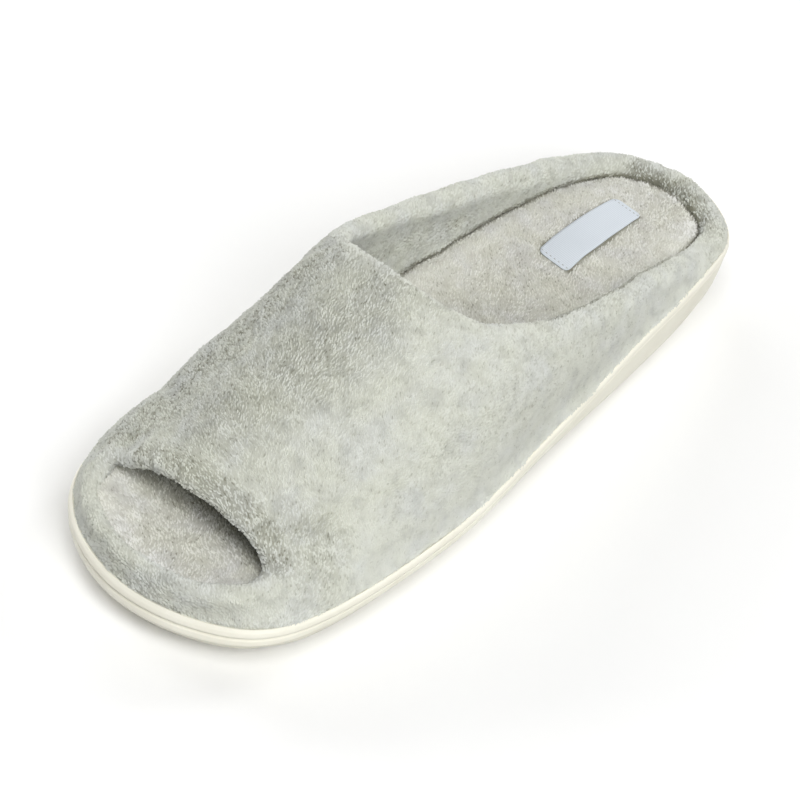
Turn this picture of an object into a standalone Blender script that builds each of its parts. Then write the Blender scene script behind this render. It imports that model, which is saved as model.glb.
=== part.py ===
"""Open-toe slipper, left shoe, standing empty on its sole.

A moulded sole with a beaded rim carries a padded terry upper and a padded terry insole.
The upper is one hollow wall: a collar roll round the heel, a vamp over the foot and a lip
round the toe, open at the throat, at the toe and underneath.

Shapes are worked out in millimetres and stored in metres. +Z is up, the toe points to -Y and
the outer (little toe) side of the left foot is at +X. The origin is on the floor, under the
middle of the bounding box.
"""

import math
from collections import namedtuple

import bmesh
import bpy
import numpy as np

MM = 0.001

# Resolution: columns from heel to toe on each side, and rows from the rim to the top edge
COLUMNS = 52
ROWS = 12
THROAT_COLUMN = 33
TOE_COLUMN = 38
CAP_STEPS = 4
SPLINE_STEPS = 40

# Clearance between pieces that touch
SEAT_GAP = 0.3

# Upper wall
WALL_AT_FOOT = 9.7
SECTION_FULLNESS = {"outer": 0.57, "inner": 0.52}
HEADING_BIAS = 0.01
RIDGE_X = -4.5
RIDGE_WALL = 5.5

# Columns over which the wall changes from upright, at heel and toe lip, to its section's own slope
UPRIGHT_TO = 8
SLOPED_FROM = 18
SLOPED_TO = 43
UPRIGHT_FROM = 48

# Recess in the sole that seats the upper and the insole
RECESS_DEPTH = 2.0
FOOTBED_DISH = 1.5
DISH_FULL_WIDTH = 60.0
LEDGE_MARGIN = 0.15
LEDGE_WIDTH = SEAT_GAP + WALL_AT_FOOT + LEDGE_MARGIN

# Sole bottom: steps of the wall over the floor, toe spring and arch
STEP_HEIGHT = 5.5
STEP_HEIGHT_AT_HEEL = 8.2
STEP_HEIGHT_AT_TOE = 3.6
TOE_SPRING = 3.2
SPRING_START_Y = -68.0
SPRING_END_Y = -130.0
ARCH_HEIGHT = 1.6
ARCH_FRONT_Y = -30.0
ARCH_BACK_Y = 62.0

# Insole
INSOLE_INSET = SEAT_GAP + WALL_AT_FOOT + SEAT_GAP

# The line where the terry meets the sole rim, clockwise from the heel seen from above
RimPoint = namedtuple("RimPoint", "place x y z")
RIM = (
    RimPoint("heel back", 0.9, 132.5, 24.4),
    RimPoint("heel outer corner", 23.8, 121.3, 25.2),
    RimPoint("heel outer side", 32.0, 97.0, 26.8),
    RimPoint("shank outer side", 37.5, 60.0, 26.2),
    RimPoint("waist outer side", 43.2, 13.0, 21.4),
    RimPoint("ball outer side", 48.8, -42.0, 17.0),
    RimPoint("toe outer side", 41.8, -107.0, 17.8),
    RimPoint("toe outer corner", 24.2, -123.4, 18.8),
    RimPoint("toe tip", -3.0, -130.4, 19.4),
    RimPoint("toe inner corner", -29.2, -121.8, 19.2),
    RimPoint("toe inner side", -42.3, -104.5, 18.0),
    RimPoint("ball inner side", -45.6, -49.0, 16.6),
    RimPoint("waist inner side", -40.2, 25.0, 28.0),
    RimPoint("heel inner side", -35.4, 96.0, 27.0),
    RimPoint("heel inner corner", -22.5, 124.0, 24.8),
)
TOE_TIP_ROW = 8

# Middle of the wall along its free edges. Lean is the wall's slope there, in degrees from level.
EdgePoint = namedtuple("EdgePoint", "place column x y z lean wall")
COLLAR_OUTER = (
    EdgePoint("heel back", 0.0, 0.9, 127.8, 24.9, 88.0, 8.6),
    EdgePoint("heel corner", 4.4, 20.5, 118.2, 25.6, 88.0, 8.6),
    EdgePoint("heel side", 8.7, 26.8, 97.0, 29.3, 86.0, 9.0),
    EdgePoint("behind the waist", 13.0, 29.6, 72.0, 37.8, 80.0, 9.0),
    EdgePoint("waist", 16.5, 32.2, 50.0, 44.2, 75.0, 8.5),
    EdgePoint("sweep foot", 19.7, 33.4, 31.0, 50.0, 69.0, 8.0),
    EdgePoint("sweep", 22.6, 33.6, 14.0, 55.8, 62.0, 7.3),
    EdgePoint("sweep middle", 24.5, 32.6, 3.0, 60.0, 55.0, 6.9),
    EdgePoint("sweep top", 26.4, 30.2, -7.0, 64.6, 47.0, 6.4),
    EdgePoint("throat corner", 28.1, 26.0, -15.3, 68.7, 38.0, 6.0),
    EdgePoint("throat side", 29.7, 19.5, -20.8, 72.0, 27.0, 5.8),
    EdgePoint("throat", 31.3, 8.5, -24.6, 74.8, 13.0, 5.6),
    EdgePoint("throat middle", 33.0, RIDGE_X, -26.0, 76.2, 0.0, RIDGE_WALL),
)
COLLAR_INNER = (
    EdgePoint("heel back", 0.0, 0.9, 127.8, 24.9, 88.0, 8.6),
    EdgePoint("heel corner", 4.4, -19.2, 120.4, 25.6, 88.0, 8.6),
    EdgePoint("heel side", 9.8, -30.0, 95.5, 31.0, 86.0, 9.0),
    EdgePoint("behind the waist", 13.5, -31.9, 74.0, 37.4, 80.0, 9.0),
    EdgePoint("waist", 17.7, -33.2, 48.0, 44.5, 76.0, 8.5),
    EdgePoint("sweep foot", 20.8, -34.3, 29.0, 49.0, 72.0, 8.0),
    EdgePoint("sweep", 23.0, -35.0, 14.0, 52.6, 66.0, 7.3),
    EdgePoint("sweep middle", 24.7, -34.9, 2.0, 56.4, 59.0, 6.8),
    EdgePoint("sweep top", 26.2, -32.9, -9.5, 61.5, 54.0, 6.3),
    EdgePoint("throat corner", 27.7, -28.5, -17.8, 66.6, 47.0, 6.0),
    EdgePoint("throat", 29.9, -18.5, -23.6, 72.6, 28.0, 5.7),
    EdgePoint("throat middle", 33.0, RIDGE_X, -26.0, 76.2, 0.0, RIDGE_WALL),
)
TOE_OUTER = (
    EdgePoint("vamp front middle", 38.0, RIDGE_X, -103.3, 41.3, 0.0, 6.0),
    EdgePoint("vamp front", 39.0, 7.5, -101.4, 40.5, 12.0, 6.1),
    EdgePoint("vamp front side", 40.0, 18.5, -100.0, 38.2, 26.0, 6.2),
    EdgePoint("toe corner top", 41.0, 27.0, -99.4, 34.8, 42.0, 6.3),
    EdgePoint("toe corner", 42.2, 32.2, -101.0, 31.2, 56.0, 6.4),
    EdgePoint("toe corner foot", 43.4, 33.9, -105.2, 28.6, 70.0, 6.4),
    EdgePoint("lip corner", 45.0, 31.6, -112.2, 27.0, 80.0, 6.4),
    EdgePoint("lip side", 46.8, 24.0, -119.8, 26.3, 88.0, 6.3),
    EdgePoint("lip front", 49.2, 12.6, -124.5, 25.8, 90.0, 6.2),
    EdgePoint("lip tip", 52.0, -3.0, -126.9, 25.5, 90.0, 6.2),
)
TOE_INNER = (
    EdgePoint("vamp front middle", 38.0, RIDGE_X, -103.3, 41.3, 0.0, 6.0),
    EdgePoint("vamp front", 39.0, -12.0, -104.2, 40.2, 14.0, 6.1),
    EdgePoint("vamp front side", 40.0, -18.7, -104.4, 37.6, 28.0, 6.2),
    EdgePoint("toe corner top", 41.2, -24.3, -104.3, 34.4, 44.0, 6.3),
    EdgePoint("toe corner", 42.4, -28.5, -105.2, 31.0, 58.0, 6.4),
    EdgePoint("toe corner foot", 43.6, -31.0, -107.8, 28.6, 70.0, 6.4),
    EdgePoint("lip corner", 45.0, -31.2, -112.4, 27.0, 80.0, 6.4),
    EdgePoint("lip side", 46.8, -27.8, -117.9, 26.3, 88.0, 6.3),
    EdgePoint("lip front", 49.2, -17.2, -124.2, 25.8, 90.0, 6.2),
    EdgePoint("lip tip", 52.0, -3.0, -126.9, 25.5, 90.0, 6.2),
)

# Middle of the vamp's wall along its ridge, from the throat to the toe opening
RidgePoint = namedtuple("RidgePoint", "place share y z wall")
RIDGE = (
    RidgePoint("throat", 0.0, -26.0, 76.2, RIDGE_WALL),
    RidgePoint("instep", 0.33, -51.8, 65.2, RIDGE_WALL),
    RidgePoint("toes", 0.67, -78.0, 54.2, RIDGE_WALL),
    RidgePoint("toe opening", 1.0, -103.3, 41.3, 6.0),
)

# Rings of the sole from its recess down to its bottom. A ring stands out from the rim line by
# side_out along the sides, by heel_out at the heel and by toe_out at the toe, and its height is
# counted from level.
SoleRing = namedtuple("SoleRing", "place side_out heel_out toe_out level height")
SOLE_RINGS = (
    SoleRing("ledge", -LEDGE_WIDTH, -LEDGE_WIDTH, -LEDGE_WIDTH, "rim", -RECESS_DEPTH),
    SoleRing("recess foot", 0.0, 0.0, 0.0, "rim", -RECESS_DEPTH),
    SoleRing("recess top", 0.0, 0.0, 0.0, "rim", -0.5),
    SoleRing("bead crest", 0.7, 0.7, 1.0, "rim", 0.1),
    SoleRing("bead shoulder", 1.3, 1.3, 2.0, "rim", -0.8),
    SoleRing("bead side", 1.5, 1.5, 2.4, "rim", -2.4),
    SoleRing("bead foot", 1.1, 1.1, 2.0, "rim", -3.4),
    SoleRing("groove", 0.4, 0.4, 1.3, "rim", -3.9),
    SoleRing("wall top", 0.9, 1.0, 2.0, "rim", -4.5),
    SoleRing("wall full", 1.0, 1.1, 2.3, "rim", -6.5),
    SoleRing("wall low", 0.0, -0.6, 1.6, "step", 4.0),
    SoleRing("wall turn", -1.0, -2.9, -0.4, "step", 1.4),
    SoleRing("step edge", -2.0, -6.2, -4.8, "step", 0.0),
    SoleRing("lift top", -2.8, -6.8, -5.6, "step", -0.5),
    SoleRing("lift side", -3.8, -9.8, -8.8, "ground", 1.4),
    SoleRing("bottom edge", -5.2, -12.4, -11.8, "ground", 0.0),
)

# Rings of the insole above its underside, inward from its edge and up from the rim line
InsoleRing = namedtuple("InsoleRing", "place inset height")
INSOLE_RINGS = (
    InsoleRing("under edge", INSOLE_INSET, SEAT_GAP - RECESS_DEPTH),
    InsoleRing("side", INSOLE_INSET, -0.4),
    InsoleRing("shoulder", INSOLE_INSET + 0.7, 0.7),
    InsoleRing("roll", INSOLE_INSET + 2.0, 1.5),
    InsoleRing("top edge", INSOLE_INSET + 4.2, 1.9),
)
INSOLE_RUNGS = 5
SOLE_RUNGS = 3

# Finish of each piece: colour, roughness
Finish = namedtuple("Finish", "red green blue roughness")
TERRY = Finish(0.58, 0.57, 0.53, 0.95)
INSOLE_TERRY = Finish(0.55, 0.53, 0.48, 0.95)
RUBBER = Finish(0.78, 0.74, 0.64, 0.55)


def unit(vectors):
    """Vectors of length one, along the last axis."""
    length = np.linalg.norm(vectors, axis=-1, keepdims=True)
    return vectors / np.maximum(length, 1e-9)


def closed_spline(points):
    """Smooth closed curve through the points, as one list of samples for each span."""
    count = len(points)
    chord = np.linalg.norm(np.roll(points, -1, 0) - points, axis=1) ** 0.5
    t = np.linspace(0.0, 1.0, SPLINE_STEPS, endpoint=False)[:, None]
    spans = []
    for i in range(count):
        before, start = points[i - 1], points[i]
        end, after = points[(i + 1) % count], points[(i + 2) % count]
        d0, d1, d2 = chord[i - 1], chord[i], chord[(i + 1) % count]
        leave = ((start - before) / d0 - (end - before) / (d0 + d1) + (end - start) / d1) * d1
        arrive = ((end - start) / d1 - (after - start) / (d1 + d2) + (after - end) / d2) * d1
        span = (2 * t**3 - 3 * t**2 + 1) * start + (t**3 - 2 * t**2 + t) * leave
        spans.append(span + (3 * t**2 - 2 * t**3) * end + (t**3 - t**2) * arrive)
    return spans


def evenly_spaced(path, count):
    """Points that divide a path into count equal steps, both ends included."""
    step = np.linalg.norm(np.diff(path[:, :2], axis=0), axis=1)
    along = np.concatenate([[0.0], np.cumsum(step)])
    wanted = np.linspace(0.0, along[-1], count + 1)
    return np.stack([np.interp(wanted, along, path[:, axis]) for axis in range(3)], axis=1)


def rim_stations():
    """The rim line as a closed loop: heel, outer side, toe, inner side."""
    points = np.array([(row.x, row.y, row.z) for row in RIM])
    spans = closed_spline(points)
    outer = np.vstack(spans[:TOE_TIP_ROW] + [points[TOE_TIP_ROW:TOE_TIP_ROW + 1]])
    inner = np.vstack(spans[TOE_TIP_ROW:] + [points[:1]])
    return np.vstack([evenly_spaced(outer, COLUMNS)[:-1], evenly_spaced(inner, COLUMNS)[:-1]])


def outward_normals(loop):
    """Level directions that point out of the rim line."""
    ahead = np.roll(loop, -1, 0) - np.roll(loop, 1, 0)
    return unit(np.stack([-ahead[:, 1], ahead[:, 0], np.zeros(len(loop))], axis=1))


def smooth_curve(keys, values, wanted):
    """Cubic curve through a table's values, with slopes taken across each row."""
    keys = np.asarray(keys, float)
    values = np.asarray(values, float)
    slopes = np.gradient(values, keys, axis=0)
    i = np.clip(np.searchsorted(keys, wanted, side="right") - 1, 0, len(keys) - 2)
    width = keys[i + 1] - keys[i]
    t = (wanted - keys[i]) / width
    start = (2 * t**3 - 3 * t**2 + 1) * values[i] + (t**3 - 2 * t**2 + t) * width * slopes[i]
    return start + (3 * t**2 - 2 * t**3) * values[i + 1] + (t**3 - t**2) * width * slopes[i + 1]


def edge_at(rows, column):
    """Edge point, lean and wall of one column, read from an edge table."""
    keys = [row.column for row in rows]
    values = [(row.x, row.y, row.z, row.lean, row.wall) for row in rows]
    return smooth_curve(keys, values, column)


def carried_over(rows, others):
    """An edge table with the other side's nearest row added at each end, so the edge runs on smoothly."""
    first = others[1]._replace(column=2 * rows[0].column - others[1].column)
    last = others[-2]._replace(column=2 * rows[-1].column - others[-2].column)
    return (first, *rows, last)


def ridge_at(column):
    """Ridge point, lean and wall of a column that crosses the vamp."""
    share = (column - THROAT_COLUMN) / (TOE_COLUMN - THROAT_COLUMN)
    keys = [row.share for row in RIDGE]
    values = [(RIDGE_X, row.y, row.z, 0.0, row.wall) for row in RIDGE]
    return smooth_curve(keys, values, share)


def column_top(column, collar, toe):
    """Where a column of the upper ends: on the collar, on the ridge or on the toe edge."""
    if column < THROAT_COLUMN:
        return edge_at(collar, column)
    if column > TOE_COLUMN:
        return edge_at(toe, column)
    return ridge_at(column)


def column_curve(foot, inward, top, lean, fullness):
    """Middle of the wall from the sole up to its top, upright at its foot."""
    rise = top[2] - foot[2]
    run = np.array([top[0] - foot[0], top[1] - foot[1], 0.0])
    heading = unit(run + HEADING_BIAS * inward)
    slope = math.radians(lean)
    reach = fullness * math.hypot(np.linalg.norm(run) * math.cos(slope), rise * math.sin(slope))
    low = foot + np.array([0.0, 0.0, fullness * rise])
    high = top - reach * (math.cos(slope) * heading + np.array([0.0, 0.0, math.sin(slope)]))
    t = np.linspace(0.0, 1.0, ROWS + 1)[:, None]
    return (1 - t)**3 * foot + 3 * (1 - t)**2 * t * low + 3 * (1 - t) * t**2 * high + t**3 * top


def upright_share(column):
    """How far a column's wall is held upright: 1 round heel and toe lip, 0 in between."""
    return np.interp(column, [UPRIGHT_TO, SLOPED_FROM, SLOPED_TO, UPRIGHT_FROM], [1.0, 0.0, 0.0, 1.0])


def column_wall(wall_at_top):
    """Wall thickness along a column, from its foot to its top."""
    t = np.linspace(0.0, 1.0, ROWS + 1)
    return wall_at_top + (WALL_AT_FOOT - wall_at_top) * (1 - t)**2


class WallSheet:
    """Middle sheet of the upper: points, wall thickness and four-sided faces."""

    def __init__(self):
        self.points = []
        self.walls = []
        self.upright = []
        self.index = {}
        self.faces = []

    def place(self, side, column, row):
        """Name of a grid point: both sides share heel, toe and ridge."""
        if column in (0, COLUMNS):
            side = "middle"
        elif row == ROWS and THROAT_COLUMN <= column <= TOE_COLUMN:
            side = "ridge"
        return side, column, row

    def add_column(self, side, column, curve, wall, outward):
        for row in range(ROWS + 1):
            name = self.place(side, column, row)
            if name not in self.index:
                self.index[name] = len(self.points)
                self.points.append(curve[row])
                self.walls.append(wall[row])
                self.upright.append((*outward, upright_share(column)))

    def at(self, side, column, row):
        return self.index[self.place(side, column, row)]

    def add_faces(self, side):
        for column in range(COLUMNS):
            for row in range(ROWS):
                quad = [
                    self.at(side, column, row),
                    self.at(side, column, row + 1),
                    self.at(side, column + 1, row + 1),
                    self.at(side, column + 1, row),
                ]
                self.faces.append(quad if side == "outer" else quad[::-1])

    def loop(self, row, first, last):
        """Ring of grid points: along the outer side from first to last, back along the inner side."""
        step = 1 if last > first else -1
        there = [self.at("outer", column, row) for column in range(first, last + step, step)]
        back = [self.at("inner", column, row) for column in range(last - step, first, -step)]
        return there + back


def build_wall_sheet(rim, outward):
    """The middle sheet of the upper, over the rim stations."""
    sheet = WallSheet()
    foot_offset = SEAT_GAP + WALL_AT_FOOT / 2
    drop = np.array([0.0, 0.0, SEAT_GAP - RECESS_DEPTH])
    feet = rim - outward * foot_offset + drop
    sides = (
        ("outer", carried_over(COLLAR_OUTER, COLLAR_INNER), carried_over(TOE_OUTER, TOE_INNER)),
        ("inner", carried_over(COLLAR_INNER, COLLAR_OUTER), carried_over(TOE_INNER, TOE_OUTER)),
    )
    for side, collar, toe in sides:
        for column in range(COLUMNS + 1):
            station = column if side == "outer" else -column
            top = column_top(column, collar, toe)
            fullness = SECTION_FULLNESS[side]
            curve = column_curve(feet[station], -outward[station], top[:3], top[3], fullness)
            sheet.add_column(side, column, curve, column_wall(top[4]), outward[station])
        sheet.add_faces(side)
    return sheet


def point_normals(points, faces):
    """Outward direction at each point, averaged over its faces."""
    corners = points[np.array(faces)]
    face_normals = np.cross(corners[:, 2] - corners[:, 0], corners[:, 3] - corners[:, 1])
    normals = np.zeros_like(points)
    for corner in range(4):
        np.add.at(normals, np.array(faces)[:, corner], face_normals)
    return unit(normals)


def edge_cap(points, normals, walls, faces, loop):
    """Rows of points that round the wall over along a free edge, from its outer to its inner face."""
    middle = np.zeros_like(points)
    count = np.zeros(len(points))
    centres = points[np.array(faces)].mean(axis=1)
    for corner in range(4):
        np.add.at(middle, np.array(faces)[:, corner], centres)
        np.add.at(count, np.array(faces)[:, corner], 1)
    edge = points[loop]
    inside = middle[loop] / count[loop][:, None]
    along = unit(np.roll(edge, -1, 0) - np.roll(edge, 1, 0))
    beyond = unit(np.cross(along, normals[loop]))
    beyond *= np.sign(np.sum(beyond * (edge - inside)))
    half = walls[loop][:, None] / 2
    rows = []
    for step in range(1, CAP_STEPS):
        turn = math.pi * step / CAP_STEPS
        rows.append(edge + half * (math.cos(turn) * normals[loop] + math.sin(turn) * beyond))
    return rows


def bridge(first, second):
    """Faces between two closed rings of point numbers."""
    count = len(first)
    return [
        (first[i], first[(i + 1) % count], second[(i + 1) % count], second[i])
        for i in range(count)
    ]


def upper_mesh(rim, outward):
    """Points and faces of the upper: outer sheet, inner sheet, rounded edges and flat foot."""
    sheet = build_wall_sheet(rim, outward)
    middle = np.array(sheet.points)
    walls = np.array(sheet.walls)
    upright = np.array(sheet.upright)
    share = upright[:, 3:]
    normals = unit(point_normals(middle, sheet.faces) * (1 - share) + upright[:, :3] * share)
    outer = middle + normals * walls[:, None] / 2
    inner = middle - normals * walls[:, None] / 2

    foot = sheet.loop(0, 0, COLUMNS)
    seat = rim + np.array([0.0, 0.0, SEAT_GAP - RECESS_DEPTH])
    outer[foot] = seat - outward * SEAT_GAP
    inner[foot] = seat - outward * (SEAT_GAP + WALL_AT_FOOT)

    total = len(middle)
    points = [outer, inner]
    faces = [tuple(face) for face in sheet.faces]
    faces += [tuple(corner + total for corner in reversed(face)) for face in sheet.faces]
    faces += bridge(foot, [corner + total for corner in foot])
    next_number = 2 * total
    for loop in (sheet.loop(ROWS, THROAT_COLUMN, 0), sheet.loop(ROWS, TOE_COLUMN, COLUMNS)):
        previous = loop
        for row in edge_cap(middle, normals, walls, sheet.faces, loop):
            ring = list(range(next_number, next_number + len(loop)))
            points.append(row)
            faces += bridge(previous, ring)
            previous = ring
            next_number += len(loop)
        faces += bridge(previous, [corner + total for corner in loop])
    return np.vstack(points), faces


def ground_height(y):
    """Height of the sole's bottom over the floor: flat heel, low arch, flat ball, sprung toe."""
    spring = np.clip((y - SPRING_START_Y) / (SPRING_END_Y - SPRING_START_Y), 0.0, None)
    arch = np.clip((y - ARCH_FRONT_Y) / (ARCH_BACK_Y - ARCH_FRONT_Y), 0.0, 1.0)
    return TOE_SPRING * spring**2 + ARCH_HEIGHT * np.sin(math.pi * arch)**2


def sole_ring(rim, outward, ring):
    """One ring of the sole round the rim stations."""
    end_share = outward[:, 1] ** 2
    at_heel = outward[:, 1] > 0
    end_out = np.where(at_heel, ring.heel_out, ring.toe_out)
    out = ring.side_out + (end_out - ring.side_out) * end_share
    points = rim + outward * out[:, None]
    ground = ground_height(points[:, 1])
    step_at_end = np.where(at_heel, STEP_HEIGHT_AT_HEEL, STEP_HEIGHT_AT_TOE)
    step = ground + STEP_HEIGHT + (step_at_end - STEP_HEIGHT) * end_share
    level = {"rim": rim[:, 2], "step": step, "ground": ground}[ring.level]
    points[:, 2] = level + ring.height
    return points


def rungs(ring, ring_points, next_number, parts, shape):
    """Faces that close a ring, laid between its two sides, with new points where they cross it."""
    lines = []
    points = []
    for column in range(1, COLUMNS):
        left = ring[column]
        right = ring[-column]
        line = [left]
        for part in range(1, parts):
            share = part / parts
            point = ring_points[column] * (1 - share) + ring_points[-column] * share
            width = np.linalg.norm(ring_points[column] - ring_points[-column])
            points.append(shape(point, share, width))
            line.append(next_number + len(points) - 1)
        lines.append(line + [right])
    faces = []
    for near, far in zip(lines, lines[1:]):
        for part in range(parts):
            faces.append((near[part], near[part + 1], far[part + 1], far[part]))
    for end, line in ((ring[0], lines[0]), (ring[COLUMNS], lines[-1])):
        for part in range(parts):
            faces.append((end, line[part], line[part + 1]))
    return points, faces


def dished(point, share, width):
    """A footbed point lowered towards the middle of the shoe."""
    depth = FOOTBED_DISH * min(1.0, width / DISH_FULL_WIDTH)
    return point - np.array([0.0, 0.0, depth * math.sin(math.pi * share)])


def grounded(point, share, width):
    """A point of the sole's bottom, on the floor, the arch or the toe spring."""
    return np.array([point[0], point[1], float(ground_height(point[1]))])


def stacked_rings(rings, parts, first_shape, last_shape):
    """Closed solid from a stack of rings, closed across its first and its last ring."""
    points = np.vstack(rings)
    size = len(rings[0])
    numbers = [list(range(i * size, (i + 1) * size)) for i in range(len(rings))]
    faces = []
    for first, second in zip(numbers, numbers[1:]):
        faces += bridge(first, second)
    for ring, ring_points, shape in (
        (numbers[0], rings[0], first_shape),
        (numbers[-1], rings[-1], last_shape),
    ):
        extra, closing = rungs(ring, ring_points, len(points), parts, shape)
        points = np.vstack([points, extra])
        faces += closing
    return points, faces


def sole_mesh(rim, outward):
    rings = [sole_ring(rim, outward, ring) for ring in SOLE_RINGS]
    return stacked_rings(rings, SOLE_RUNGS, dished, grounded)


def insole_mesh(rim, outward):
    rings = []
    for ring in INSOLE_RINGS:
        rings.append(rim - outward * ring.inset + np.array([0.0, 0.0, ring.height]))
    return stacked_rings(rings, INSOLE_RUNGS, dished, dished)


def material(name, finish):
    made = bpy.data.materials.new(name)
    made.use_nodes = True
    shader = made.node_tree.nodes["Principled BSDF"]
    shader.inputs["Base Color"].default_value = (finish.red, finish.green, finish.blue, 1.0)
    shader.inputs["Roughness"].default_value = finish.roughness
    shader.inputs["Metallic"].default_value = 0.0
    return made


def solid(name, points, faces, finish, parent):
    """One closed object from points in millimetres, with its faces pointing out."""
    mesh = bpy.data.meshes.new(name)
    mesh.from_pydata([tuple(point * MM) for point in points], [], faces)
    shape = bmesh.new()
    shape.from_mesh(mesh)
    bmesh.ops.recalc_face_normals(shape, faces=shape.faces)
    shape.to_mesh(mesh)
    shape.free()
    mesh.shade_smooth()
    mesh.materials.append(material(name, finish))
    made = bpy.data.objects.new(name, mesh)
    made.parent = parent
    bpy.context.scene.collection.objects.link(made)
    return made


def clear_scene():
    for old in list(bpy.data.objects):
        bpy.data.objects.remove(old, do_unlink=True)


def main():
    clear_scene()
    shoe = bpy.data.objects.new("slipper", None)
    bpy.context.scene.collection.objects.link(shoe)
    rim = rim_stations()
    outward = outward_normals(rim)
    sole_points, sole_faces = sole_mesh(rim, outward)
    lowest, highest = sole_points.min(axis=0), sole_points.max(axis=0)
    centre = (lowest + highest) / 2 * np.array([1.0, 1.0, 0.0])
    upper_points, upper_faces = upper_mesh(rim, outward)
    insole_points, insole_faces = insole_mesh(rim, outward)
    solid("sole", sole_points - centre, sole_faces, RUBBER, shoe)
    solid("upper", upper_points - centre, upper_faces, TERRY, shoe)
    solid("insole", insole_points - centre, insole_faces, INSOLE_TERRY, shoe)


main()
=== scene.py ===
"""Looks of an open-toe slipper: looped terry, padded insole, blank sewn label and moulded sole.

Lengths are in metres unless a comment says otherwise. The toe points to -Y, the outer side is +X.
"""

import math
from collections import namedtuple

import bmesh
import bpy
import numpy as np
from mathutils import Matrix, Vector
from mathutils.bvhtree import BVHTree


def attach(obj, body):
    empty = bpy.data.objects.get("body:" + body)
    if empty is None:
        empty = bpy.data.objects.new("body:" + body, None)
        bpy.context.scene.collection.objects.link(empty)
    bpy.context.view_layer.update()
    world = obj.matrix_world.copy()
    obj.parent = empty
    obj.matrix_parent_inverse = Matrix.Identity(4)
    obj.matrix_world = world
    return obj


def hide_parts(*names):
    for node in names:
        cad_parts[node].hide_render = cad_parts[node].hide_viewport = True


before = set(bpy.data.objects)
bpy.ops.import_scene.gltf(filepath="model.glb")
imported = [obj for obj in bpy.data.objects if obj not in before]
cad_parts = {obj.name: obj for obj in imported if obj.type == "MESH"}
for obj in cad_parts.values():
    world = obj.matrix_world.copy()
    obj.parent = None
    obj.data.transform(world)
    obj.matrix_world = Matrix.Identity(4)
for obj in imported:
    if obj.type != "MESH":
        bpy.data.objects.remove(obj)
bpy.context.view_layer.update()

MM = 0.001
TINY = 1e-12
UP = (0.0, 0.0, 1.0)
DOWN = (0.0, 0.0, -1.0)

# Camera at the photograph's angle to the shoe: angles in degrees, lens and sensor in millimetres
CAMERA_AZIMUTH = 36.81
CAMERA_ELEVATION = 45.43
CAMERA_ROLL = 9.48
CAMERA_DISTANCE = 0.8846
CAMERA_TARGET = (0.0045, -0.0201, 0.025)
CAMERA_LENS = 128.75
CAMERA_SENSOR = 36.0

# Light and floor
WORLD_STRENGTH = 0.03
BACKDROP_STRENGTH = 0.8
LAMP_SIZE = 0.6
Lamp = namedtuple("Lamp", "name place power")
LAMPS = (
    Lamp("front", (0.30, -0.50, 1.18), 5.9),
    Lamp("right", (0.80, -0.43, 0.94), 7.4),
    Lamp("side", (1.20, -0.10, 0.55), 2.6),
    Lamp("left", (-1.10, -0.15, 0.50), 5.3),
    Lamp("left back", (-0.95, 0.45, 0.60), 3.6),
    Lamp("back", (0.20, 1.10, 0.80), 5.2),
)
FLOOR_RADIUS = 0.85
FLOOR_SEGMENTS = 96
FLOOR_DROP = 0.0002
FLOOR_COLOUR = (0.99, 0.99, 0.985)
FLOOR_FINISH = {"Roughness": 0.9}

# Upper and insole cloth under the pile
UPPER_VOXEL = 0.00115
UPPER_SMOOTHING = 10
UPPER_GROWTH = -0.00025
INSOLE_VOXEL = 0.0014
INSOLE_SMOOTHING = 5
INSOLE_EDGE_GROWTH = 0.0011
INSOLE_TOE_GROWTH = 0.0056
INSOLE_TOE_REACH = 0.011
SMOOTHING_FACTOR = 0.5
FOOT_GROWTH = 0.0016
FOOT_REACH = 0.005
PUSH_ROUNDS = 4
BEND_ROUNDS = 6
CLOTH_WAVE = 0.00014
CLOTH_WAVE_SIZE = 0.016

# Smooth random values: number of waves, how many of each fit in one size, and the largest phase
SWIRL_WAVES = 15
SWIRL_RATE = (0.4, 1.3)
SWIRL_PHASE = 7.0

# Upward part of the normal: two limits between which an effect changes, or one where the pile ends
EDGE_FACING = (0.5, 0.95)
WAVE_FACING = (0.0, 0.6)
TOE_RISE_FACING = (-0.1, 0.6)
SEAM_FACING = (0.0, 0.5)
LINING_FACING = -0.6
INSOLE_FACING = -0.1

# Insole at the toe: it rises towards the lip and meets it in a soft hollow
TOE_RISE = 0.0018
TOE_RISE_FROM_Y = -0.066
TOE_RISE_TO_Y = -0.096
HOLLOW_FROM_Y = -0.088
HOLLOW_TO_Y = -0.100
HOLLOW_RISE_INNER = 0.0054
HOLLOW_RISE_OUTER = 0.0030
HOLLOW_INNER_X = -0.024
HOLLOW_OUTER_X = 0.014
HOLLOW_REACH = 0.022
TOE_LEVEL = 0.0206
TOE_EDGE_FROM_Z = 0.0140
TOE_EDGE_TO_Z = 0.0190

# Seam between insole and wall, behind the toe: the insole drops along it, and SEAM_TONE darkens the pile in
# it as painted shade
SEAM_FROM_Y = -0.086
SEAM_TO_Y = -0.070
SEAM_DEEP = 0.0006
SEAM_WIDE = 0.0021
SEAM_FAR = 1.0
SEAM_DROP = 0.0016
SEAM_DROP_REACH = 0.0040
SEAM_TONE = 0.75

# Terry loops: sizes from the smallest to the largest, and factors where the pile is closed or open
LOOP_LENGTH = (0.0010, 0.0018)
LOOP_WIDTH = (0.00050, 0.00070)
LOOP_HEIGHT = (0.00050, 0.00090)
LOOP_SINK = 0.00025
LOOP_BOW = 0.16
ARCH_STATIONS = (-0.17, 0.17)
CLOSED_SOFTNESS = 1.2
OPEN_SOFTNESS = 0.25
CLOSED_HEIGHT = 0.5
OPEN_HEIGHT = 1.0
CLOSED_WIDTH = 1.20
OPEN_WIDTH = 0.90
CLOSED_LENGTH = 1.10
OPEN_LENGTH = 1.05
CLUMP_SIZE = 0.0042
CLUMP_HEIGHT = 0.18
CLUMP_TONE = 0.10
CLUMP_TONE_CLOSED = 0.4

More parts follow.
